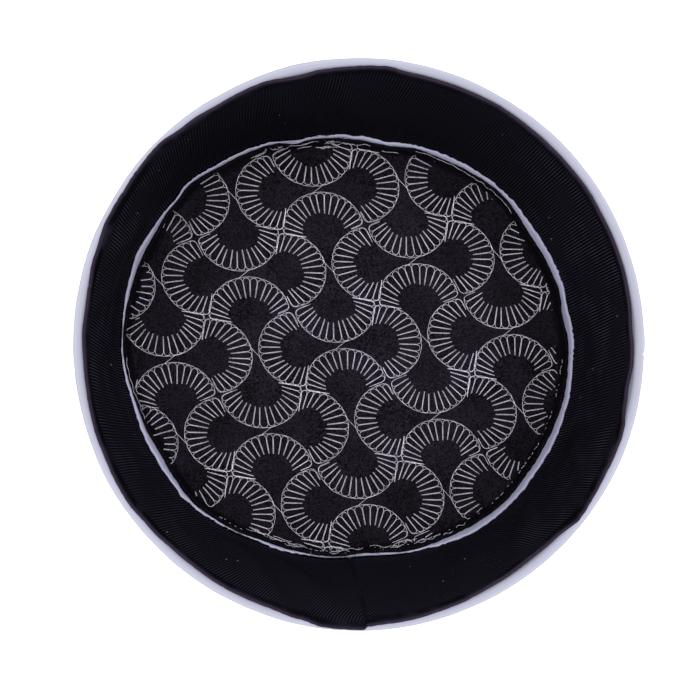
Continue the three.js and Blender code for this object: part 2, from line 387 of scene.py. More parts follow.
def polar(radius, angle, height=0.0):
    """The point at a radius from the cap's axis, an angle and a height."""
    turn = math.radians(angle)
    return Vector((radius * math.cos(turn), radius * math.sin(turn), height))


def ripple(angle, height, radius, size):
    """Smooth noise from -1 to 1 on a wall of that radius, with lumps of that size.

    A height far above the cap gives a pattern of its own.
    """
    return noise.noise(polar(radius, angle, height) / size)


def strayed(angle, radius, lumps, height=0.0):
    """How far cloth or thread strays, from rows of depth, size and pattern."""
    return MM * sum(
        depth * ripple(angle, height + pattern, radius, size * MM)
        for depth, size, pattern in lumps
    )


def length_setting(name, description, default):
    return FloatProperty(name=name, description=description, default=default, unit="LENGTH")


def colour_setting(name, description, *default):
    return FloatVectorProperty(
        name=name, description=description, default=(*default, 1), subtype="COLOR", size=4
    )


class KufiSizes(bpy.types.PropertyGroup):
    """Sizes of the cap and of its cloth"""

    rim_radius: length_setting("Rim radius", "Outer radius of the rim", BAND_HIGH.x)
    rim_height: length_setting(
        "Rim height", "Height of the rim above the surface that the cap lies on", 85 * MM
    )
    crown_long: length_setting(
        "Crown long radius", "Half the length of the crown's oval seam", 85.6 * MM
    )
    crown_short: length_setting(
        "Crown short radius", "Half the width of the crown's oval seam", 79.7 * MM
    )
    crown_turn: FloatProperty(
        name="Crown turn",
        description="Direction of the oval's long axis in degrees",
        default=-9.5,
    )
    band_thickness: length_setting(
        "Band thickness", "Thickness of the white interlined wall", 3.4 * MM
    )
    lining_thickness: length_setting(
        "Lining thickness", "Thickness of the twill lining", 1 * MM
    )
    crown_thickness: length_setting(
        "Crown thickness", "Thickness of the backed crown cloth", 1.2 * MM
    )
    hem_thickness: length_setting(
        "Hem thickness", "Thickness of the band's raw edge inside the cap", 0.95 * MM
    )
    clearance: length_setting("Clearance", "Gap between neighbouring cloths", 0.3 * MM)
    band_hem: length_setting(
        "Band hem", "Height of the band's raw edge inside the cap", 8 * MM
    )
    crown_hem: length_setting(
        "Crown hem", "Height of the crown's turned-up edge", CROWN_HIGH.z
    )
    hem_lean: FloatProperty(
        name="Hem lean",
        description="Outward lean of the turned-up edges in degrees",
        default=18,
    )
    foot_lift: length_setting(
        "Foot lift", "Height of the band's seam above the surface", BAND_LOW.z
    )
    trough_floor: length_setting(
        "Trough floor", "Height of the fold that holds the lining's foot", 2.6 * MM
    )
    seam_stray: length_setting(
        "Seam stray", "How far the soft crown seam strays from its oval", 2.4 * MM
    )
    wall_bow: length_setting("Wall bow", "Outward bow of the wall half way up", 0.4 * MM)
    wall_dent: length_setting("Wall dent", "Depth of the wall's shallow dents", 1.6 * MM)
    fold_depth: length_setting(
        "Fold depth", "How far the lining's folds stand inwards", 1.6 * MM
    )
    thread_radius: length_setting(
        "Thread radius", "Radius of the embroidery thread", 0.074 * MM
    )
    embroidery_edge: length_setting(
        "Embroidery edge", "Furthest that the embroidery runs up past the crown's seam", 2 * MM
    )
    stitch_depth: length_setting(
        "Stitch depth", "Unit for how far in from the crown's seam its stitches lie", 1 * MM
    )
    petals: IntProperty(
        name="Petals",
        description="Loops of thread in one half ring of the embroidery",
        default=16,
    )
    columns: IntProperty(
        name="Columns",
        description="Columns of faces round the cap",
        default=480,
    )


class KufiColours(bpy.types.PropertyGroup):
    """Colours of the cloths and threads"""

    band: colour_setting("Band", "White band cloth", 0.44, 0.445, 0.55)
    # Painted light: the raw edge is the band cloth's reverse, coloured bluer and lighter than
    # the band for the bluish light deep inside the cap.
    hem: colour_setting(
        "Band, raw edge", "Reverse of the band cloth, seen on its raw edge", 0.5, 0.5, 0.69
    )
    lining_deep: colour_setting(
        "Lining, between ribs", "Black twill between its ribs", 0.0016, 0.0014, 0.0028
    )
    lining_rib: colour_setting(
        "Lining, ribs", "Black twill on its ribs", 0.075, 0.067, 0.108
    )
    # Painted highlight: a brownish purple for light catching the lining's folded edge.
    lining_edge_highlight: colour_setting(
        "Lining, folded edge", "Twill along its worn folded edge", 0.031, 0.0225, 0.0395
    )
    crown_deep: colour_setting(
        "Crown, dark", "Darkest specks of the crown cloth", 0.0022, 0.0018, 0.0028
    )
    crown_light: colour_setting(
        "Crown, light", "Lightest specks of the crown cloth", 0.022, 0.0175, 0.0285
    )
    thread: colour_setting("Thread", "White embroidery thread", 0.9, 0.86, 1.0)


class CapForm:
    """The shape of the cap's cloths, worked out from its sizes."""

    def __init__(self, sizes):
        self.sizes = sizes
        self.slope = math.tan(math.radians(sizes.hem_lean))
        level = math.hypot(1, self.slope)
        self.gap = sizes.clearance * level
        self.hem_width = sizes.hem_thickness * level
        self.lining_width = sizes.lining_thickness * level
        self.crown_width = sizes.crown_thickness * level
        self.crown_bend = 2 * sizes.crown_thickness
        self.foot_height = sizes.band_hem + sizes.clearance
        self.hem_reach = self.gap + self.hem_width + self.slope * self.foot_height
        self.trough = self.lining_width + 2 * self.gap
        self.foot_reach = self.hem_reach + self.trough + sizes.band_thickness
        self.rim_half = sizes.band_thickness / 2
        self.rim_centre_height = sizes.rim_height - self.rim_half
        self.rim_centre_radius = sizes.rim_radius - self.rim_half
        middle = self.rim_half + sizes.clearance + sizes.lining_thickness / 2
        self.lap_turn = math.pi * middle

    def seam_radius(self, angle):
        """Radius of the crown's seam, an oval that the soft cloth pulls out of shape."""
        turn = math.radians(angle - self.sizes.crown_turn)
        along = math.cos(turn) / self.sizes.crown_long
        across = math.sin(turn) / self.sizes.crown_short
        stray = self.sizes.seam_stray * around(SEAM_OUTLINE, angle)
        return 1 / math.hypot(along, across) + stray

    def nick(self, angle, height):
        """How far the raw edges inside the cap are pushed inwards at a height."""
        inwards = 0
        for middle, half_width, depth in HEM_NICKS:
            inwards += depth * bell(turn_between(angle, middle), half_width)
        risen = max(0, height - self.sizes.crown_thickness) / self.sizes.band_hem
        return self.sizes.seam_stray * inwards * risen

    def wall_inside(self, angle, height):
        """Radius of the band's inner face."""
        sizes = self.sizes
        start = self.seam_radius(angle) + self.hem_reach + self.trough
        if height < self.foot_height:
            return start - self.slope * (self.foot_height - height)
        share = (height - self.foot_height) / (self.rim_centre_height - self.foot_height)
        share = min(1, share)
        swell = sizes.wall_bow - sizes.wall_dent * around(WALL_DENTS, angle)
        end = sizes.rim_radius - sizes.band_thickness
        return mix(start, end, share) + swell * math.sin(math.pi * share)

    def fold(self, angle, height):
        """How far the lining's folds stand in from the band."""
        inwards = 0
        for foot, top, half_width, low, high, depth in LINING_FOLDS:
            share = (height / self.sizes.rim_height - low) / (high - low)
            if 0 < share < 1:
                away = turn_between(angle, mix(foot, top, share))
                across = eased(max(0, 1 - abs(away) / half_width))
                inwards += depth * across * math.sin(math.pi * share)
        return self.sizes.fold_depth * inwards

    def crown_ripple(self, point):
        """Height of the crown cloth's soft waves above its lowest."""
        place = Vector((point.x, point.y, 0))
        wide = noise.noise(place / CROWN_WAVE)
        fine = noise.noise(place / CROWN_WRINKLE)
        return CROWN_WAVE_DEPTH * wide + CROWN_WRINKLE_DEPTH * fine + CROWN_SLACK

    def crown_flat(self, angle):
        """Radius where the crown's flat ends and its turned edge begins to rise."""
        return self.seam_radius(angle) - 0.95 * self.crown_bend

    def on_crown(self, point, lift):
        """Place on the crown's upper face above a flat point, also up its turned edge."""
        radius = math.hypot(point.x, point.y)
        angle = math.degrees(math.atan2(point.y, point.x))
        flat = self.crown_flat(angle)
        start = self.seam_radius(angle) + self.slope * self.crown_bend - self.crown_width
        level = self.sizes.crown_thickness + self.crown_ripple(point)
        if radius <= flat:
            height = level
        elif radius <= start:
            height = mix(level, self.crown_bend, (radius - flat) / (start - flat))
        else:
            height = self.crown_bend + (radius - start) / self.slope
            lift += self.nick(angle, height)
        inwards = 1 - lift / radius if radius > flat else 1
        return Vector((point.x * inwards, point.y * inwards, height + lift))

    def crown_edge(self, angle):
        """Height of the crown's raw edge."""
        worn = strayed(angle, CROWN_NOISE, CROWN_FRAY) - CROWN_WORN
        return self.sizes.crown_hem * around(CROWN_HEM_EDGE, angle) + worn

    def crown_end(self, angle):
        """Radius of the upper face of the crown at its raw edge."""
        top = self.crown_edge(angle)
        return self.seam_radius(angle) + self.slope * top - self.crown_width


def even_angles(count, dense_at=None):
    """Angles round the cap, with extra ones either side of a seam."""
    angles = {FULL_TURN * step / count for step in range(count)}
    if dense_at is not None:
        for step in range(SEAM_COLUMNS + 1):
            away = mix(-SEAM_HALF_WIDTH, SEAM_HALF_WIDTH, step / SEAM_COLUMNS)
            angles.add((dense_at + away) % FULL_TURN)
    return sorted(angles)


def placed(name, data):
    """An object in the scene that shows a mesh, a curve, a lamp or a camera."""
    shown = bpy.data.objects.new(name, data)
    bpy.context.scene.collection.objects.link(shown)
    return shown


def finished(name, mesh_edit):
    """A smooth object in the scene from a bmesh."""
    mesh = bpy.data.meshes.new(name)
    mesh_edit.to_mesh(mesh)
    mesh_edit.free()
    for layer in ("row", "column"):
        if layer in mesh.attributes:
            mesh.attributes.remove(mesh.attributes[layer])
    mesh.shade_smooth()
    return placed(name, mesh)


def spun_cloth(name, angles, section_at, weave_at, closed=True):
    """A ring or disc of cloth, from a section at each angle.

    A section is a list of (radius, height, length along the cloth, distance from the
    cloth's free edge). A row of points is spun round the axis, and then each point
    takes its place from its section.
    """
    sections = [section_at(angle) for angle in angles]
    rows = len(sections[0])
    mesh_edit = bmesh.new()
    row_layer = mesh_edit.verts.layers.int.new("row")
    points = []
    for row in range(rows):
        point = mesh_edit.verts.new((1, 0, row / rows))
        point[row_layer] = row
        points.append(point)
    for row in range(rows - 1 + closed):
        mesh_edit.edges.new((points[row], points[(row + 1) % rows]))
    bmesh.ops.spin(
        mesh_edit,
        geom=mesh_edit.verts[:] + mesh_edit.edges[:],
        cent=(0, 0, 0),
        axis=(0, 0, 1),
        dvec=(0, 0, 0),
        angle=math.tau,
        steps=len(angles),
        use_merge=True,
        use_duplicate=False,
    )
    column_layer = mesh_edit.verts.layers.int.new("column")
    edge_layer = mesh_edit.verts.layers.float.new("edge_distance")
    for point in mesh_edit.verts:
        turn = math.atan2(point.co.y, point.co.x) / math.tau
        column = round(turn * len(angles)) % len(angles)
        point[column_layer] = column
        radius, height, _, point[edge_layer] = sections[column][point[row_layer]]
        point.co = polar(radius, angles[column], height)
    weave = mesh_edit.loops.layers.uv.new("weave")
    for face in mesh_edit.faces:
        columns = [point[column_layer] for point in face.verts]
        crosses = max(columns) - min(columns) > 1
        for loop in face.loops:
            column = loop.vert[column_layer]
            angle = angles[column]
            if crosses and column == 0:
                angle += FULL_TURN
            length = sections[column][loop.vert[row_layer]][2]
            loop[weave].uv = weave_at(angle, length)
    bmesh.ops.remove_doubles(mesh_edit, verts=mesh_edit.verts, dist=0.001 * MM)
    bmesh.ops.recalc_face_normals(mesh_edit, faces=mesh_edit.faces)
    return finished(name, mesh_edit)


def thread_piece(name, runs, radius):
    """One mesh of four-sided threads that follow runs of points."""
    curve = bpy.data.curves.new(name, "CURVE")
    curve.dimensions = "3D"
    curve.bevel_depth = radius
    curve.bevel_resolution = 0
    curve.use_fill_caps = True
    for run in runs:
        spline = curve.splines.new("POLY")
        spline.points.add(len(run) - 1)
        for point, place in zip(spline.points, run):
            point.co = (*place, 1)
    route = placed(name + "_route", curve)
    view = bpy.context.evaluated_depsgraph_get()
    mesh = bpy.data.meshes.new_from_object(route.evaluated_get(view))
    mesh.name = name
    mesh.materials.clear()
    mesh.shade_smooth()
    bpy.data.objects.remove(route)
    bpy.data.curves.remove(curve)
    return placed(name, mesh)


class Wire:
    """The output of a shader node, with arithmetic that adds Math nodes."""

    def __init__(self, finish, socket):
        self.finish = finish
        self.socket = socket

    def math(self, operation, first, second=0.0):
        node = self.finish.node(
            "ShaderNodeMath", {"operation": operation}, {0: first, 1: second}
        )
        return Wire(self.finish, node.outputs[0])

    def __add__(self, other):
        return self.math("ADD", self, other)

    __radd__ = __add__

    def __mul__(self, other):
        return self.math("MULTIPLY", self, other)

    __rmul__ = __mul__

    def __sub__(self, other):
        return self.math("SUBTRACT", self, other)

    def __rsub__(self, other):
        return self.math("SUBTRACT", other, self)

    def __truediv__(self, other):
        return self.math("DIVIDE", self, other)

    def __pow__(self, other):
        return self.math("POWER", self, other)

    def wave(self):
        """0 to 1 and back for each whole number that the wire passes."""
        return self.math("SINE", self * math.tau) * 0.5 + 0.5

    def step(self, low, high):
        """0 below low, 1 above high, smooth between."""
        node = self.finish.node(
            "ShaderNodeMapRange",
            {"interpolation_type": "SMOOTHSTEP"},
            {"Value": self, "From Min": low, "From Max": high},
        )
        return Wire(self.finish, node.outputs[0])


class Finish:
    """The material of a cloth or thread, with the nodes that feed its shader."""

    def __init__(self, name, roughness, gloss=0.2):
        self.material = bpy.data.materials.new(name)
        self.material.use_nodes = True
        self.tree = self.material.node_tree
        self.shader = self.tree.nodes["Principled BSDF"]
        self.shader.inputs["Roughness"].default_value = roughness
        self.shader.inputs["Specular IOR Level"].default_value = gloss

    def node(self, kind, settings=None, inputs=None):
        node = self.tree.nodes.new(kind)
        for setting, value in (settings or {}).items():
            setattr(node, setting, value)
        for socket, value in (inputs or {}).items():
            self.feed(node.inputs[socket], value)
        return node

    def feed(self, socket, value):
        if isinstance(value, Wire):
            self.tree.links.new(value.socket, socket)
        else:
            socket.default_value = value

    def parts(self, vector):
        """The X, Y and Z of a vector."""
        node = self.node("ShaderNodeSeparateXYZ", None, {0: vector})
        return [Wire(self, node.outputs[axis]) for axis in "XYZ"]

    def weave(self):
        """Across and along the cloth, in metres, from its weave map."""
        node = self.node("ShaderNodeUVMap", {"uv_map": "weave"})
        across, along, _ = self.parts(Wire(self, node.outputs[0]))
        return across, along

    def place(self):
        """The point on the piece, in metres from the cap's middle."""
        return Wire(self, self.node("ShaderNodeTexCoord").outputs["Object"])

    def edge_distance(self):
        """Distance along the cloth from its free edge, in metres."""
        edge = self.node("ShaderNodeAttribute", {"attribute_name": "edge_distance"})
        return Wire(self, edge.outputs["Fac"])

    def speckle(self, size, detail=2.0, rough=0.5):
        """Noise from 0 to 1 with lumps of that size, fixed to the piece."""
        node = self.node(
            "ShaderNodeTexNoise",
            None,
            {"Vector": self.place(), "Scale": 1 / size, "Detail": detail, "Roughness": rough},
        )
        return Wire(self, node.outputs["Fac"])

    def blend(self, share, low, high):
        """A colour between two colours."""
        node = self.node("ShaderNodeMix", {"data_type": "RGBA"}, {0: share, 6: low, 7: high})
        return Wire(self, node.outputs[2])

    def colour(self, value):
        self.feed(self.shader.inputs["Base Color"], value)

    def relief(self, height, depth):
        """Bump of that depth in metres where height goes from 0 to 1."""
        node = self.node(
            "ShaderNodeBump", None, {"Strength": 1.0, "Distance": depth, "Height": height}
        )
        self.feed(self.shader.inputs["Normal"], Wire(self, node.outputs[0]))


def darker(colour, share):
    return (*(part * share for part in colour[:3]), 1)


def axis_distance(x, y):
    """Distance from the cap's axis."""
    return (x * x + y * y) ** 0.5


def band_finish(form, colours):
    """White cotton with painted shade on the rim's crest next to the lining, and its reverse
    on the raw edge, painted bluer and lighter for the light deep inside the cap.
    """
    finish = Finish("band_cotton", 0.85)
    across, along = finish.weave()
    ribs = (across / BAND_WARP).wave()
    weft = (along / BAND_WEFT).wave()
    cloud = finish.speckle(9 * MM, 3)
    fluff = finish.speckle(0.5 * MM, 4)
    tone = ribs * 0.25 + weft * 0.1 + cloud * 0.45 + fluff * 0.35
    cloth = finish.blend(tone, darker(colours.band, 0.86), colours.band)
    x, y, height = finish.parts(finish.place())
    rim_height = form.sizes.rim_height
    # Painted shade: the cloth darkens over the inner side of the rim's crest, next to the
    # lining's edge, where the black lining shades it.
    crest = form.sizes.rim_radius - 1.2 * MM - axis_distance(x, y)
    crest_shade = crest.step(-1.4 * MM, 1.6 * MM)
    crest_shade = crest_shade * height.step(rim_height - 3 * MM, rim_height - 1 * MM)
    outside = finish.blend(crest_shade, cloth, darker(colours.band, 0.7))
    # The raw edge takes the hem colour, with its painted bluish light.
    inside = finish.blend(tone, darker(colours.hem, 0.86), colours.hem)
    hem = form.sizes.band_hem
    past_hem = finish.edge_distance().step(hem, hem + 2 * MM)
    finish.colour(finish.blend(past_hem, inside, outside))
    finish.relief(ribs * 0.5 + weft * 0.2 + fluff * 0.5, 0.06 * MM)
    return finish.material


def lining_finish(form, colours):
    """Black twill with slanting ribs, plain along its folded edge, with a painted highlight
    there and painted shade towards +Y.
    """
    finish = Finish("lining_twill", 0.9, 0.02)
    across, along = finish.weave()
    x, y, height = finish.parts(finish.place())
    away = finish.edge_distance()
    rib_count = across / TWILL_RIB
    ribs = rib_count.wave() ** 2 * away.step(1 * MM, 5 * MM)
    steps = (along / TWILL_STEP + rib_count * 0.5).wave()
    wear = finish.speckle(14 * MM, 3)
    fluff = finish.speckle(0.8 * MM, 3)
    sideways = x * x / (x * x + y * y)
    worn = wear.step(0.3, 0.7) * (0.45 + 0.75 * sideways)
    # Painted shade: the lining darkens towards the +Y side of the cap.
    far_side_shade = (y / axis_distance(x, y)).step(0.4, 1)
    tone = (0.13 + (ribs - 0.35) * worn + 0.08 * fluff * steps) * (1 - 0.45 * far_side_shade)
    cloth = finish.blend(tone, colours.lining_deep, colours.lining_rib)
    # Painted highlight along the folded edge, narrower where the lining laps over the rim and
    # faces up.
    lapped = height.step(form.rim_centre_height, form.rim_centre_height + 2 * MM)
    near_edge = (1 - (away * (1 + lapped)).step(0, 4 * MM)) ** 4
    edge_highlight = near_edge * (0.55 + 0.45 * fluff)
    finish.colour(finish.blend(edge_highlight, cloth, colours.lining_edge_highlight))
    finish.relief(ribs + 0.35 * steps + 0.3 * fluff, 0.16 * MM)
    return finish.material


def crown_finish(colours):
    """Black felted cloth with pale specks, with painted shade towards its seam, on its edge
    and out towards the walls.
    """
    finish = Finish("crown_felt", 0.95, 0.03)
    coarse = finish.speckle(1.3 * MM, 3, 0.8)
    fine = finish.speckle(0.5 * MM, 1)
    cloud = finish.speckle(16 * MM, 2)
    tone = (coarse * 0.6 + fine * 0.8 + cloud * 0.25).step(0.69, 0.98)
    # Painted shade on the turned-up edge and just inside the seam, within about 5 mm of the
    # raw edge.
    flat = finish.edge_distance().step(4.6 * MM, 5.6 * MM)
    x, y, _ = finish.parts(finish.place())
    # Painted shade: the cloth darkens from the middle out towards the walls.
    outer = axis_distance(x, y).step(35 * MM, 80 * MM)
    tone = tone * (0.4 + 0.6 * flat) * (0.88 - 0.3 * outer)
    finish.colour(finish.blend(tone, colours.crown_deep, colours.crown_light))
    finish.relief(coarse + fine * 0.7, 0.3 * MM)
    return finish.material


def thread_finish(name, colour, shade):
    """Twisted thread whose strands and patches darken down to a share of its colour."""
    finish = Finish(name, 0.45, 0.5)
    twist = finish.speckle(0.45 * MM, 2)
    patch = finish.speckle(6 * MM, 2)
    tone = (twist * 0.8 + patch * 0.4).step(0.4, 0.72)
    finish.colour(finish.blend(tone, darker(colour, shade), colour))
    finish.relief(twist, 0.08 * MM)
    return finish.material


def dress(piece, material, slot, *nodes):
    """Gives a piece its material and its place on the body, and hides the solids it stands
    for.
    """
    piece.data.materials.append(material)
    if nodes:
        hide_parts(*nodes)
    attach(piece, "root")


def measured(section, edge_row):
    """Adds to each (radius, height) its length along the section and from the free edge."""
    lengths = [0]
    for before, after in zip(section, section[1:]):
        lengths.append(lengths[-1] + math.dist(before, after))
    return [
        (radius, height, length, abs(length - lengths[edge_row]))
        for (radius, height), length in zip(section, lengths)
    ]


def band_section(form, angle):
    """Section of the band: foot, outer face, rim, inner face, trough and raw edge."""
    sizes = form.sizes
    seam = form.seam_radius(angle)
    seam_away = math.radians(turn_between(angle, BAND_SEAM)) * sizes.rim_radius
    hem_width = form.hem_width * around(BAND_HEM_THIN, angle)

    def softness(height):
        """How far the outer face swells, with a groove and a ridge along its seam."""
        lumps = strayed(angle, sizes.rim_radius, BAND_LUMPS, height)
        pucker = strayed(angle, sizes.rim_radius, BAND_PUCKERS)
        pucker *= bell(height - PUCKER_HEIGHT, PUCKER_REACH)
        groove = GROOVE_DEPTH * bell(seam_away, GROOVE_WIDTH)
        ridge = RIDGE_RISE * bell(seam_away - RIDGE_AWAY, RIDGE_WIDTH)
        return lumps + pucker - groove + ridge

    def hem_inside(height):
        return seam + form.gap + form.slope * height - form.nick(angle, height)

    section = []
    foot_inner = hem_inside(sizes.foot_lift)
    foot_outer = seam + form.foot_reach
    for row in range(FOOT_ROWS):
        turn = math.pi / 2 * row / FOOT_ROWS
        height = form.foot_height - (form.foot_height - sizes.foot_lift) * math.cos(turn)
        radius = mix(foot_inner, foot_outer, math.sin(turn))
        section.append((radius + softness(height) * math.sin(turn), height))
    for row in range(WALL_ROWS):
        height = mix(form.foot_height, form.rim_centre_height, row / WALL_ROWS)
        radius = form.wall_inside(angle, height) + sizes.band_thickness
        section.append((radius + softness(height), height))
    lift = strayed(angle, sizes.rim_radius, RIM_WAVES)
    for row in range(RIM_ROWS + 1):
        turn = math.pi * row / RIM_ROWS
        crease = CREASE_DEPTH * bell(math.degrees(turn) - CREASE_TURN, CREASE_WIDTH)
        half = form.rim_half - crease
        out = softness(form.rim_centre_height) * max(0, math.cos(turn / 2))
        radius = form.rim_centre_radius + half * math.cos(turn) + out
        section.append((radius, form.rim_centre_height + (half + lift) * math.sin(turn)))
    for row in range(INNER_ROWS - 1, -1, -1):
        height = mix(form.foot_height, form.rim_centre_height, row / INNER_ROWS)
        section.append((form.wall_inside(angle, height), height))
    third = form.trough / 3
    hem_foot = sizes.trough_floor + third
    section.append((form.wall_inside(angle, hem_foot), hem_foot))
    section.append((form.wall_inside(angle, sizes.trough_floor) - third, sizes.trough_floor))
    hem_edge = sizes.band_hem * around(BAND_HEM_EDGE, angle)
    hem_edge += strayed(angle, seam, BAND_FRAY)
    wobble = strayed(angle, seam, HEM_WOBBLE)
    for row in range(HEM_ROWS + 1):
        height = mix(hem_foot, hem_edge, row / HEM_ROWS)
        section.append((hem_inside(height) + hem_width + wobble * row / HEM_ROWS, height))
    edge_row = len(section)
    middle = hem_inside(hem_edge) + hem_width / 2 + wobble
    for out, rise in BAND_LIP:
        section.append((middle + hem_width * out, hem_edge + hem_width * rise))
    for row in range(HEM_ROWS, 0, -1):
        height = mix(sizes.foot_lift, hem_edge, row / HEM_ROWS)
        section.append((hem_inside(height) + max(0, wobble) * row / HEM_ROWS, height))
    return measured(section, edge_row)


def lining_path(form, angle, length):
    """Place on the lining's path up the wall and round the rim, and the way it faces."""
    if length <= 0:
        height = form.rim_centre_height + length
        crinkle = CRINKLE_DEPTH * (1 + ripple(angle, height, LINING_NOISE, CRINKLE_SIZE)) / 2
        crinkle *= min(1, -length / CRINKLE_EASE)
        crinkle *= min(1, max(0, height - form.foot_height) / CRINKLE_EASE)
        inwards = form.sizes.clearance + form.fold(angle, height) + crinkle
        return form.wall_inside(angle, height) - inwards, height, (-1, 0)
    turn = math.pi * length / form.lap_turn
    facing = (-math.cos(turn), math.sin(turn))
    reach = form.rim_half + form.sizes.clearance
    radius = form.rim_centre_radius + reach * facing[0]
    return radius, form.rim_centre_height + reach * facing[1], facing


def lining_lengths(form, angle):
    """Lengths along the path where the lining has a row of points."""
    edge = form.lap_turn * around(LINING_LAP, angle)
    edge += strayed(angle, LINING_NOISE, LINING_FRAY)
    foot = form.sizes.trough_floor + form.trough / 3 + form.sizes.clearance
    start = foot - form.rim_centre_height
    knee = min(0, edge - KNEE_AWAY)
    lengths = [mix(start, DENSE_BELOW, row / LOW_ROWS) for row in range(LOW_ROWS)]
    lengths += [mix(DENSE_BELOW, knee, row / HIGH_ROWS) for row in range(HIGH_ROWS)]
    lengths += [mix(knee, edge, row / LAP_ROWS) for row in range(LAP_ROWS + 1)]
    return lengths


def lining_section(form, angle):
    """Section of the lining: the face against the band upwards, then the open face."""
    sizes = form.sizes
    lengths = lining_lengths(form, angle)
    past_seam = turn_between(angle, LINING_SEAM)
    overlap = 0 if past_seam > 0 else OVERLAP_DEPTH * bell(past_seam, OVERLAP_WIDTH)
    against = []
    opened = []
    for length in lengths:
        radius, height, facing = lining_path(form, angle, length)
        if height < form.foot_height:
            thick = form.lining_width
            radius -= form.gap - sizes.clearance
        else:
            thick = sizes.lining_thickness + overlap * min(1, max(0, -length) / OVERLAP_EASE)
        woven = length - lengths[0]
        away = lengths[-1] - length
        against.append((radius, height, woven, away))
        opened.append((radius + thick * facing[0], height + thick * facing[1], woven, away))
    radius, height, facing = lining_path(form, angle, lengths[-1] + EDGE_ROUND)
    woven = lengths[-1] - lengths[0] + EDGE_ROUND
    nose = []
    for share in LINING_LIP:
        out = sizes.lining_thickness * share
        nose.append((radius + out * facing[0], height + out * facing[1], woven, 0))
    return against + nose + opened[::-1]


def crown_section(form, angle):
    """Section of the crown, from the axis under it to the axis on top of it."""
    sizes = form.sizes
    seam = form.seam_radius(angle)
    flat = form.crown_flat(angle)

    def face(height):
        return seam + form.slope * height - form.nick(angle, height)

    section = [(flat * row / UNDER_ROWS, CROWN_UNDER) for row in range(UNDER_ROWS + 1)]
    for share, rise in CROWN_CORNER:
        section.append((seam - sizes.crown_thickness * share, CROWN_UNDER + rise * MM))
    edge = form.crown_edge(angle)
    for row in range(EDGE_ROWS + 1):
        height = mix(sizes.crown_thickness, edge, row / EDGE_ROWS)
        section.append((face(height), height))
    edge_row = len(section)
    for share, rise in CROWN_LIP:
        section.append((face(edge) - form.crown_width * share, edge + rise * MM))
    for row in range(EDGE_ROWS, -1, -1):
        height = mix(form.crown_bend, edge, row / EDGE_ROWS)
        pucker = CROWN_PUCKER * (1 + ripple(angle, height, seam, CROWN_PUCKER_SIZE))
        pucker *= row / EDGE_ROWS
        section.append((face(height) - form.crown_width + pucker, height))
    for row in range(TOP_ROWS, -1, -1):
        radius = flat * row / TOP_ROWS
        section.append((radius, form.on_crown(polar(radius, angle), 0).z))
    return measured(section, edge_row)


def half_rings():
    """Centre and bulge angle of each half ring, in grid units and radians."""
    rings = []
    for across in range(-GRID_REACH, GRID_REACH):
        for down in range(-GRID_REACH, GRID_REACH):
            side = 1 if (across + down) % 2 == 0 else -1
            rings.append((across + 0.5, down, math.pi / 2 * side))
            rings.append((across, down + 0.5, math.pi if side == 1 else 0.0))
    return rings


def ring_runs(centre_x, centre_y, bulge, petals, draw):
    """Thread runs of one half ring in grid units: its petals and its outline."""

    def along_spoke(oval, spoke):
        """Length of a spoke from where the spokes meet to an oval."""
        sideways = math.sin(spoke) / oval.x
        forwards = math.cos(spoke) / oval.y
        back = SPOKES_BEHIND / oval.y
        steep = sideways**2 + forwards**2
        middle = forwards * back
        return (middle + math.sqrt(middle**2 + steep * (1 - back**2))) / steep

    def place(reach, spoke):
        away = mix(along_spoke(RING_INNER, spoke), along_spoke(RING_OUTER, spoke), reach)
        forwards = away * math.cos(spoke) - SPOKES_BEHIND
        sideways = away * math.sin(spoke)
        return (
            centre_x + forwards * math.cos(bulge) - sideways * math.sin(bulge),
            centre_y + forwards * math.sin(bulge) + sideways * math.cos(bulge),
        )

    spacing = (SPOKES_LAST - SPOKES_FIRST) / petals
    spokes = []
    for count in range(petals + 1):
        spoke = SPOKES_FIRST + spacing * (count + draw.uniform(-0.1, 0.1))
        spokes.append((spoke, draw.uniform(-0.07, 0.06)))
    run = []
    for (start, inner_start), (end, inner_end) in zip(spokes, spokes[1:]):
        tip = PETAL_TIP * draw.uniform(0.96, 1.01)
        width = end - start
        run.append(place(inner_start, start + width * PETAL_FOOT))
        for reach, share in PETAL_SIDE:
            run.append(place(tip * reach, start + width * share))
        run.append(place(tip, start + width / 2))
        for reach, share in reversed(PETAL_SIDE):
            run.append(place(tip * reach, end - width * share))
        run.append(place(inner_end, end - width * PETAL_FOOT))
    first = SPOKES_FIRST - spacing * OUTLINE_PAST
    last = SPOKES_LAST + spacing * OUTLINE_PAST
    outline = [place(reach, first + spacing * share) for reach, share in OUTLINE_END]
    for step in range(OUTLINE_STEPS + 1):
        spoke = mix(first + spacing * 0.6, last - spacing * 0.6, step / OUTLINE_STEPS)
        outline.append(place(draw.uniform(0.985, 1.015), spoke))
    for reach, share in reversed(OUTLINE_END):
        outline.append(place(reach, last - spacing * share))
    return [run, outline]


def joining_runs(draw):
    """Short threads that cross the middle of each grid cell, in grid units."""

    def outline_point(spoke):
        """From the middle of a cell to the outline of a half ring beside it."""
        return Vector((0.5 - RING_OUTER.y * math.cos(spoke), RING_OUTER.x * math.sin(spoke)))

    far = outline_point(JOIN_FAR)
    near = outline_point(JOIN_NEAR)
    runs = []
    for across in range(-GRID_REACH, GRID_REACH):
        for down in range(-GRID_REACH, GRID_REACH):
            middle = Vector((across + 0.5, down + 0.5))
            upright = (across + down) % 2 == 0
            run = []
            for part in (-far, -near, Vector((0, 0)), near, far):
                part = part * draw.uniform(0.97, 1.03)
                step = Vector((-part.y, part.x)) if upright else part
                run.append(tuple(middle + step))
            runs.append(run)
    return runs


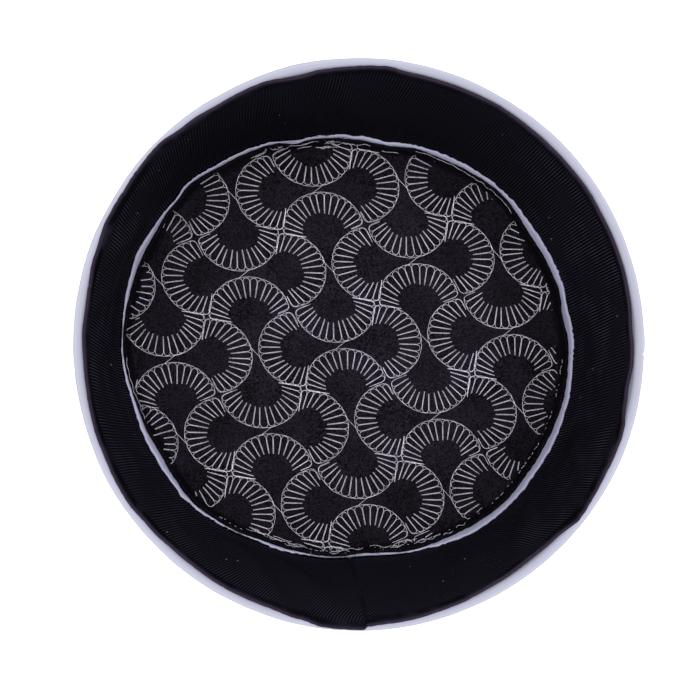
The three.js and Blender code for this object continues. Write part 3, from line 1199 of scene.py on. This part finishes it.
def clipped(form, run):
    """Parts of a run in grid units that lie on the crown, as flat points in metres."""
    parts = []
    part = []
    for before, after in zip(run, run[1:]):
        cuts = 2 if math.dist(before, after) > 0.1 else 1
        for cut in range(cuts):
            x = mix(before[0], after[0], cut / cuts)
            y = mix(before[1], after[1], cut / cuts)
            flat = GRID_START + x * GRID_ACROSS + y * GRID_DOWN
            angle = math.degrees(math.atan2(flat.y, flat.x))
            past = form.sizes.embroidery_edge * around(EMBROIDERY_END, angle)
            past += strayed(angle, THREAD_NOISE, EMBROIDERY_WANDER)
            if flat.length < min(form.seam_radius(angle) + past, form.crown_end(angle)):
                part.append(flat)
            elif part:
                parts.append(part)
                part = []
    if part:
        parts.append(part)
    return [part for part in parts if len(part) > 1]


def seam_thread(form, angle, inwards, lift):
    """Place of a thread on the crown, some way in from its seam."""
    return form.on_crown(polar(form.seam_radius(angle) - inwards, angle), lift)


def stitch_runs(form, draw):
    """Stitches along the lines of thread round the crown's seam."""
    runs = []
    for first, last, depth_first, depth_last, shown in SEAM_LINES:
        count = round((last - first) / STITCH_PITCH)
        run = []
        for stitch in range(count):
            if shown < 1:
                runs.append(run)
                run = []
                if draw.random() > shown + 0.25:
                    continue
            points = STITCH_POINTS
            if shown < 1:
                points = round(STITCH_POINTS * shown * draw.uniform(0.6, 1.7))
            for step in range(points):
                share = (stitch + step / STITCH_POINTS) / count
                angle = mix(first, last, share)
                depth = mix(depth_first, depth_last, share) * form.sizes.stitch_depth
                depth += strayed(angle, THREAD_NOISE, STITCH_WANDER)
                run.append(seam_thread(form, angle, depth, STITCH_LIFT))
        runs.append(run)
    return [run for run in runs if len(run) > 1]


def curl_runs(form, draw):
    """Loose ends of thread that curl along the crown's seam."""
    runs = []
    for _ in range(CURL_COUNT):
        angle = draw.choice([draw.gauss(middle, spread) for middle, spread in CURL_PLACES])
        inwards = draw.uniform(-0.9, 1.2) * MM
        span = draw.uniform(2, 6)
        swing = draw.uniform(-0.5, 0.5) * MM
        run = []
        for step in range(CURL_POINTS):
            bend = swing * math.sin(step * CURL_BEND)
            along = angle + span * (step / (CURL_POINTS - 1) - 0.5)
            run.append(seam_thread(form, along, inwards + bend, CURL_LIFT))
        runs.append(run)
    return runs


def fray_run(form, angle, draw, length):
    """A loose fibre that starts on the band's raw edge."""
    edge = form.sizes.band_hem * around(BAND_HEM_EDGE, angle)
    radius = form.seam_radius(angle) + form.gap + form.hem_width / 2 + form.slope * edge
    outwards = polar(1, angle)
    sideways = polar(1, angle + FULL_TURN / 4) * draw.uniform(-1, 1)
    place = outwards * radius + Vector((0, 0, edge - 0.2 * MM))
    run = [place]
    heading = Vector((0, 0, 0.8)) + sideways * 0.7 - outwards * draw.uniform(-0.3, 0.6)
    for _ in range(4):
        place = place + heading.normalized() * length / 4
        heading += sideways * 0.5 - outwards * draw.uniform(0, 0.5) - Vector((0, 0, 0.25))
        run.append(place)
    return run


def fuzz_run(form, draw):
    """A short fibre that stands out of the crown's raw edge."""
    angle = draw.uniform(0, FULL_TURN)
    radius = form.crown_end(angle) + form.crown_width / 4
    start = polar(radius, angle, form.crown_edge(angle))
    away = Vector((draw.uniform(-0.6, 0.6), draw.uniform(-0.6, 0.6), draw.uniform(0.3, 0.9)))
    length = draw.uniform(0.3, 0.8) * MM
    return [start - away * 0.3 * MM, start + away.normalized() * length]


def lint_run(form, draw):
    """A speck of lint that lies on the lining."""
    angle = draw.uniform(0, FULL_TURN)
    height = draw.uniform(0.2, 0.95) * form.rim_centre_height
    length = draw.uniform(0.15, 0.6) * MM
    rise = draw.uniform(-0.7, 0.7)
    run = []
    for part in (0, 0.5, 1):
        side = angle + math.degrees(length * part / form.sizes.rim_radius)
        path = height + rise * length * part - form.rim_centre_height
        radius, level, _ = lining_path(form, side, path)
        run.append(polar(radius - form.sizes.lining_thickness, side, level))
    return run


def add_lamp(name, place, power):
    """A square lamp that shines at the cap's middle."""
    lamp = bpy.data.lights.new(name, "AREA")
    lamp.size = LAMP_SIZE
    lamp.energy = power
    holder = placed(name, lamp)
    holder.location = place
    holder.rotation_euler = (-place).to_track_quat("-Z", "Y").to_euler()


def add_floor():
    """A wide pale floor with a faint grain."""
    mesh_edit = bmesh.new()
    bmesh.ops.create_circle(mesh_edit, cap_ends=True, segments=96, radius=FLOOR_RADIUS)
    floor = finished("floor", mesh_edit)
    finish = Finish("floor_paper", 0.9)
    grain = finish.speckle(40 * MM, 2)
    finish.colour(finish.blend(grain, (0.92, 0.92, 0.93, 1), (0.95, 0.95, 0.95, 1)))
    finish.shader.inputs["Emission Color"].default_value = WHITE
    finish.shader.inputs["Emission Strength"].default_value = FLOOR_GLOW
    floor.data.materials.append(finish.material)


def add_camera():
    """The camera that looks down into the opening, as in the photograph."""
    camera = placed("camera", bpy.data.cameras.new("camera"))
    camera.data.lens = CAMERA_LENS
    camera.data.clip_start = 0.01
    camera.data.clip_end = 40
    back = (CAMERA_PLACE - CAMERA_TARGET).normalized()
    right = Vector((0, 1, 0)).cross(back).normalized()
    turn = Matrix((right, back.cross(right), back)).transposed()
    camera.matrix_world = Matrix.Translation(CAMERA_PLACE) @ turn.to_4x4()
    bpy.context.scene.camera = camera


class KUFI_OT_band(bpy.types.Operator):
    """Adds the white cloth band with its raw edge turned up inside"""

    bl_idname = "kufi.band"
    bl_label = "Band"

    def execute(self, context):
        form = CapForm(context.scene.kufi_sizes)
        piece = spun_cloth(
            "band_cloth",
            even_angles(form.sizes.columns, BAND_SEAM),
            lambda angle: band_section(form, angle),
            lambda angle, length: (math.radians(angle) * form.sizes.rim_radius, length),
        )
        material = band_finish(form, context.scene.kufi_colours)
        dress(piece, material, "band_cloth", "band")
        return {"FINISHED"}


class KUFI_OT_lining(bpy.types.Operator):
    """Adds the black twill lining that laps over the rim"""

    bl_idname = "kufi.lining"
    bl_label = "Lining"

    def execute(self, context):
        form = CapForm(context.scene.kufi_sizes)
        radius = form.sizes.rim_radius - form.sizes.band_thickness

        def weave_at(angle, length):
            """Across and along the twill, whose ribs lean about half way up the wall."""
            lean = math.radians(around(TWILL_LEAN, angle))
            rise = length - form.rim_centre_height / 2
            return math.radians(angle) * radius - rise * math.tan(lean), length

        piece = spun_cloth(
            "lining_cloth",
            even_angles(form.sizes.columns, LINING_SEAM + 0.5),
            lambda angle: lining_section(form, angle),
            weave_at,
        )
        material = lining_finish(form, context.scene.kufi_colours)
        dress(piece, material, "lining_twill", "lining")
        return {"FINISHED"}


class KUFI_OT_crown(bpy.types.Operator):
    """Adds the black crown cloth with its turned-up edge"""

    bl_idname = "kufi.crown"
    bl_label = "Crown"

    def execute(self, context):
        form = CapForm(context.scene.kufi_sizes)
        piece = spun_cloth(
            "crown_cloth",
            even_angles(form.sizes.columns * 3 // 4),
            lambda angle: crown_section(form, angle),
            lambda angle, length: (math.radians(angle) * form.sizes.crown_long, length),
            closed=False,
        )
        dress(piece, crown_finish(context.scene.kufi_colours), "crown_cloth", "crown")
        return {"FINISHED"}


class KUFI_OT_embroidery(bpy.types.Operator):
    """Adds the white looped embroidery on both faces of the crown"""

    bl_idname = "kufi.embroidery"
    bl_label = "Embroidery"

    def execute(self, context):
        sizes = context.scene.kufi_sizes
        form = CapForm(sizes)
        draw = random.Random(7)
        flat_runs = []
        for centre_x, centre_y, bulge in half_rings():
            centre = GRID_START + centre_x * GRID_ACROSS + centre_y * GRID_DOWN
            if centre.length > sizes.crown_long + GRID_ACROSS.length / 2:
                continue
            for run in ring_runs(centre_x, centre_y, bulge, sizes.petals, draw):
                flat_runs += clipped(form, run)
        for run in joining_runs(draw):
            flat_runs += clipped(form, run)
        inside = []
        outside = []
        for run in flat_runs:
            lift = sizes.thread_radius * draw.uniform(0.4, 0.75)
            inside.append([form.on_crown(point, lift) for point in run])
            level = CROWN_UNDER - sizes.thread_radius * draw.uniform(0.3, 0.6)
            limit = form.seam_radius(0) * UNDER_REACH
            kept = [point for point in run if point.length < limit]
            if len(kept) > 1:
                outside.append([Vector((point.x, point.y, level)) for point in kept])
        thread = thread_finish("embroidery_thread", context.scene.kufi_colours.thread, 0.5)
        for name, runs in (("embroidery_inside", inside), ("embroidery_outside", outside)):
            dress(thread_piece(name, runs, sizes.thread_radius), thread, "crown_cloth")
        return {"FINISHED"}


class KUFI_OT_stitches(bpy.types.Operator):
    """Adds the white stitches along the crown's seam"""

    bl_idname = "kufi.stitches"
    bl_label = "Seam stitches"

    def execute(self, context):
        form = CapForm(context.scene.kufi_sizes)
        draw = random.Random(11)
        runs = stitch_runs(form, draw) + curl_runs(form, draw)
        thread = thread_finish("seam_thread", context.scene.kufi_colours.thread, 0.15)
        piece = thread_piece("crown_seam_stitches", runs, SEAM_THREAD_RADIUS)
        dress(piece, thread, "crown_cloth")
        return {"FINISHED"}


class KUFI_OT_fibres(bpy.types.Operator):
    """Adds frayed fibres, fuzz and lint"""

    bl_idname = "kufi.fibres"
    bl_label = "Loose fibres"

    def execute(self, context):
        form = CapForm(context.scene.kufi_sizes)
        colours = context.scene.kufi_colours
        draw = random.Random(23)
        white = []
        for _ in range(LONG_FRAYS):
            angle = draw.gauss(*LONG_FRAYS_AT)
            white.append(fray_run(form, angle, draw, draw.uniform(1, 3.5) * MM))
        for _ in range(SHORT_FRAYS):
            angle = draw.uniform(0, FULL_TURN)
            white.append(fray_run(form, angle, draw, draw.uniform(0.4, 1.1) * MM))
        black = [fuzz_run(form, draw) for _ in range(FUZZ_COUNT)]
        lint = [lint_run(form, draw) for _ in range(LINT_COUNT)]
        fray = thread_finish("fray_fibre", colours.band, 0.7)
        fuzz = thread_finish("crown_fuzz", colours.crown_light, 0.5)
        speck = thread_finish("lint_fibre", colours.thread, 0.7)
        dress(thread_piece("raw_edge_frays", white, FRAY_RADIUS), fray, "band_cloth")
        dress(thread_piece("crown_edge_fuzz", black, FUZZ_RADIUS), fuzz, "crown_cloth")
        dress(thread_piece("lining_lint", lint, LINT_RADIUS), speck, "lining_twill")
        return {"FINISHED"}


class KUFI_OT_stage(bpy.types.Operator):
    """Adds the pale floor, the soft light and the camera"""

    bl_idname = "kufi.stage"
    bl_label = "Stage"

    def execute(self, context):
        scene = context.scene
        scene.view_settings.view_transform = "Standard"
        scene.view_settings.look = "None"
        add_floor()
        world = bpy.data.worlds.new("soft_room")
        scene.world = world
        world.use_nodes = True
        background = world.node_tree.nodes["Background"]
        background.inputs["Color"].default_value = WHITE
        background.inputs["Strength"].default_value = ROOM_LIGHT
        for name, place, power in LAMPS:
            add_lamp(name, place, power)
        add_camera()
        return {"FINISHED"}


class KUFI_PT_cap(bpy.types.Panel):
    """Lists the pieces of the cap"""

    bl_label = "Kufi Cap"
    bl_space_type = "VIEW_3D"
    bl_region_type = "UI"
    bl_category = "Kufi Cap"

    def draw(self, context):
        for operator in OPERATORS:
            self.layout.operator(operator.bl_idname)


OPERATORS = (
    KUFI_OT_band,
    KUFI_OT_lining,
    KUFI_OT_crown,
    KUFI_OT_embroidery,
    KUFI_OT_stitches,
    KUFI_OT_fibres,
    KUFI_OT_stage,
)
CLASSES = (KufiSizes, KufiColours, *OPERATORS, KUFI_PT_cap)


def register():
    for each in CLASSES:
        bpy.utils.register_class(each)
    bpy.types.Scene.kufi_sizes = PointerProperty(type=KufiSizes)
    bpy.types.Scene.kufi_colours = PointerProperty(type=KufiColours)


def unregister():
    del bpy.types.Scene.kufi_colours
    del bpy.types.Scene.kufi_sizes
    for each in reversed(CLASSES):
        bpy.utils.unregister_class(each)


def main():
    register()
    bpy.ops.kufi.band()
    bpy.ops.kufi.lining()
    bpy.ops.kufi.crown()
    bpy.ops.kufi.embroidery()
    bpy.ops.kufi.stitches()
    bpy.ops.kufi.fibres()
    bpy.ops.kufi.stage()


if __name__ == "__main__":
    main()
